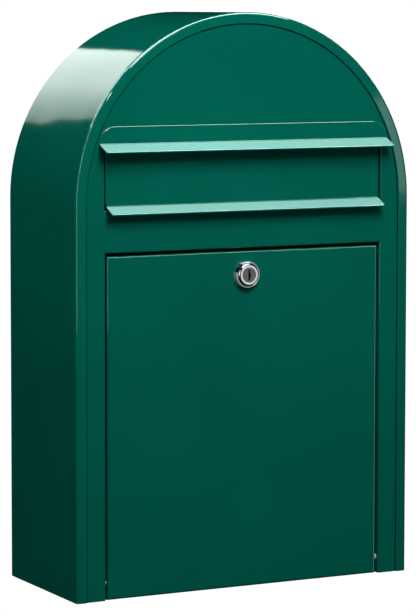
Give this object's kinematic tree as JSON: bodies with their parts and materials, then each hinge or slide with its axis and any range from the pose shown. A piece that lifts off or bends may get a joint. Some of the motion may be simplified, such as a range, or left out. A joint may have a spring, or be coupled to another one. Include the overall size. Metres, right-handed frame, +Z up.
{
  "type": "wall mounted mailbox",
  "caption": "Arched sheet-steel wall mailbox with a hooded letter flap that lifts and a lockable door that drops open at the front.",
  "frame": {"origin": "centre of the four wall bolt holes, on the wall plane at the back of the box", "axes": "+Z up, +Y into the wall so the front faces -Y, +X to the viewer's right when facing the door"},
  "size_m": [0.305, 0.1438, 0.47],
  "materials": {
    "green_coat": "glossy dark green powder coat",
    "zinc_steel": "bright zinc plate",
    "lock_chrome": "bright nickel-chrome plate",
    "plug_steel": "dark satin turned steel",
    "bumper_rubber": "matt black rubber",
    "washer_nylon": "natural nylon"
  },
  "bodies": {
    "housing": {"body_wrapper": "green_coat", "back_panel": "green_coat", "floor_panel": "green_coat", "front_plate": "green_coat", "slot_hood": "green_coat", "hood_studs": "zinc_steel", "hood_nuts": "zinc_steel", "flap_hinge_rod": "zinc_steel", "rod_clips": "zinc_steel", "flap_stop_brackets": "green_coat", "flap_bumpers": "bumper_rubber", "lock_strike": "green_coat", "door_stop_brackets": "green_coat", "door_bumpers": "bumper_rubber", "door_hinge_pins": "zinc_steel", "hinge_washers": "washer_nylon"},
    "door": {"door_panel": "green_coat", "lock_barrel": "lock_chrome", "lock_collar": "lock_chrome", "lock_tooth_washer": "zinc_steel", "lock_nut": "zinc_steel"},
    "lock_cylinder": {"lock_plug": "plug_steel", "lock_cam": "zinc_steel", "cam_washer": "zinc_steel", "cam_screw": "zinc_steel"},
    "flap": {"letter_flap": "green_coat"}
  },
  "joints": [
    {"name": "door_hinge", "type": "hinge", "parent": "housing", "child": "door", "pos_m": [0, -0.123, -0.137], "axis": [1, 0, 0], "range_deg": [0, 92]},
    {"name": "lock_turn", "type": "hinge", "parent": "door", "child": "lock_cylinder", "pos_m": [0, -0.1276, 0.1074], "axis": [0, 1, 0], "range_deg": [0, 90]},
    {"name": "flap_hinge", "type": "hinge", "parent": "housing", "child": "flap", "pos_m": [0, -0.1226, 0.212], "axis": [-1, 0, 0], "range_deg": [0, 55]}
  ]
}
